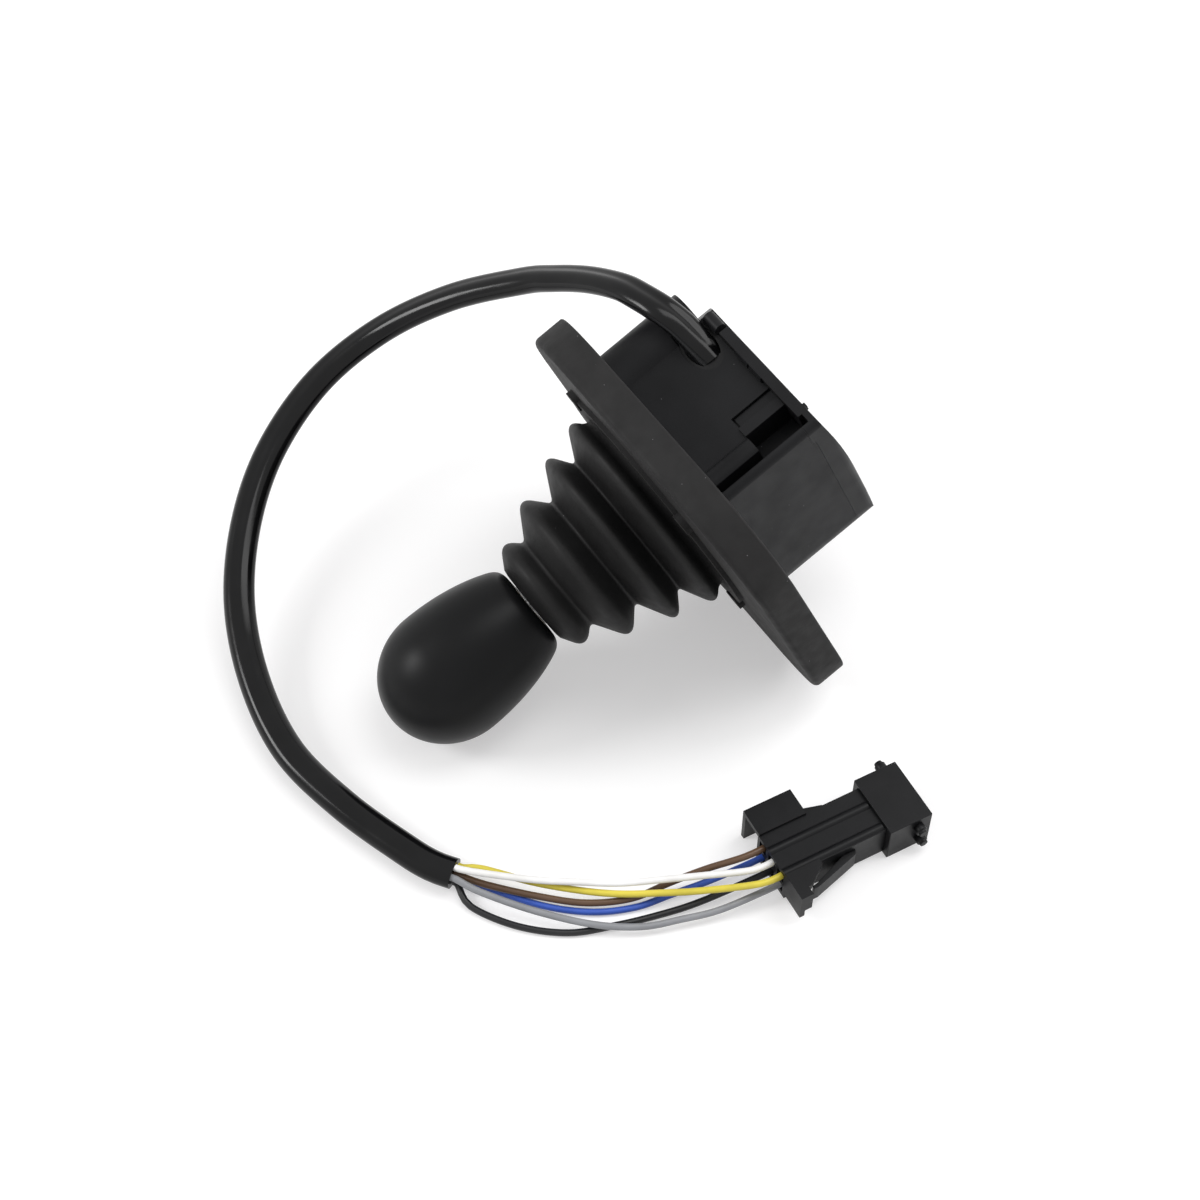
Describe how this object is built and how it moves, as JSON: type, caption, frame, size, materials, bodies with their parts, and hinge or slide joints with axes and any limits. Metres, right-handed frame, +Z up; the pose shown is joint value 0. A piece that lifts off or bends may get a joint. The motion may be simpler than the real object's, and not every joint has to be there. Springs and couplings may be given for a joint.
{
  "type": "industrial joystick",
  "caption": "Industrial joystick with a rounded knob on a rubber bellows, a square sealed flange, a moulded sensor housing and a sleeved lead ending in a rectangular plug.",
  "frame": {"origin": "centre of the joystick's footprint on the table, the lead and its plug left out; the joystick lies on its flange edge and its knob", "axes": "+X runs from the rear cover towards the knob, +Z is up, +Y is to the left when looking along +X; the lever axis falls by 22.5 degrees from +X towards -Z"},
  "size_m": [0.1627, 0.1989, 0.0944],
  "materials": {
    "knob": "satin",
    "insert": "satin",
    "steel": "satin",
    "zinc_steel": "zinc plated",
    "rubber": "matt",
    "housing_plastic": "satin",
    "ring_alloy": "satin",
    "bush_bronze": "satin",
    "hub_plastic": "satin",
    "magnet_metal": "satin",
    "board_laminate": "gloss",
    "sensor_plastic": "matt",
    "header_plastic": "gloss",
    "sleeve_plastic": "gloss",
    "white_wire": "satin",
    "yellow_wire": "satin",
    "brown_wire": "satin",
    "blue_wire": "satin",
    "grey_wire": "satin",
    "black_wire": "satin",
    "plug_plastic": "satin",
    "contact_metal": "tinned"
  },
  "bodies": {
    "base": {"bellows": "rubber", "boot_skirt": "rubber", "mounting_plate": "zinc_steel", "housing": "housing_plastic", "housing_screws": "steel", "rear_cover": "housing_plastic", "outer_bushes": "bush_bronze", "outer_spring": "steel", "circuit_board": "board_laminate", "hall_sensors": "sensor_plastic", "board_header": "header_plastic", "board_screws": "steel", "cable_grommet": "rubber", "sleeve": "sleeve_plastic", "wire_white": "white_wire", "wire_yellow": "yellow_wire", "wire_brown": "brown_wire", "wire_blue": "blue_wire", "wire_grey": "grey_wire", "wire_black": "black_wire", "connector_body": "plug_plastic", "connector_front": "plug_plastic", "latch_arms": "plug_plastic", "coding_pegs": "plug_plastic", "terminals": "contact_metal"},
    "gimbal": {"gimbal_ring": "ring_alloy", "outer_pins": "steel", "inner_pins": "steel", "inner_spring": "steel"},
    "lever": {"lever_hub": "hub_plastic", "inner_bushes": "bush_bronze", "lever_shaft": "steel", "lock_nut": "steel", "neck_ring": "steel", "knob": "knob", "knob_insert": "insert", "magnet_holder": "hub_plastic", "magnet": "magnet_metal"}
  },
  "joints": [
    {"name": "tilt_fore_aft", "type": "hinge", "parent": "base", "child": "gimbal", "pos_m": [-0.03129, -0.0075, 0.05117], "axis": [0, 1, 0], "range_deg": [-20, 20], "stiffness_Nm_per_rad": 3, "deforming": ["bellows", "outer_spring"]},
    {"name": "tilt_sideways", "type": "hinge", "parent": "gimbal", "child": "lever", "pos_m": [-0.03129, -0.0075, 0.05117], "axis": [0.3834, 0, 0.9236], "range_deg": [-20, 20], "stiffness_Nm_per_rad": 3, "deforming": ["bellows", "inner_spring"]}
  ]
}
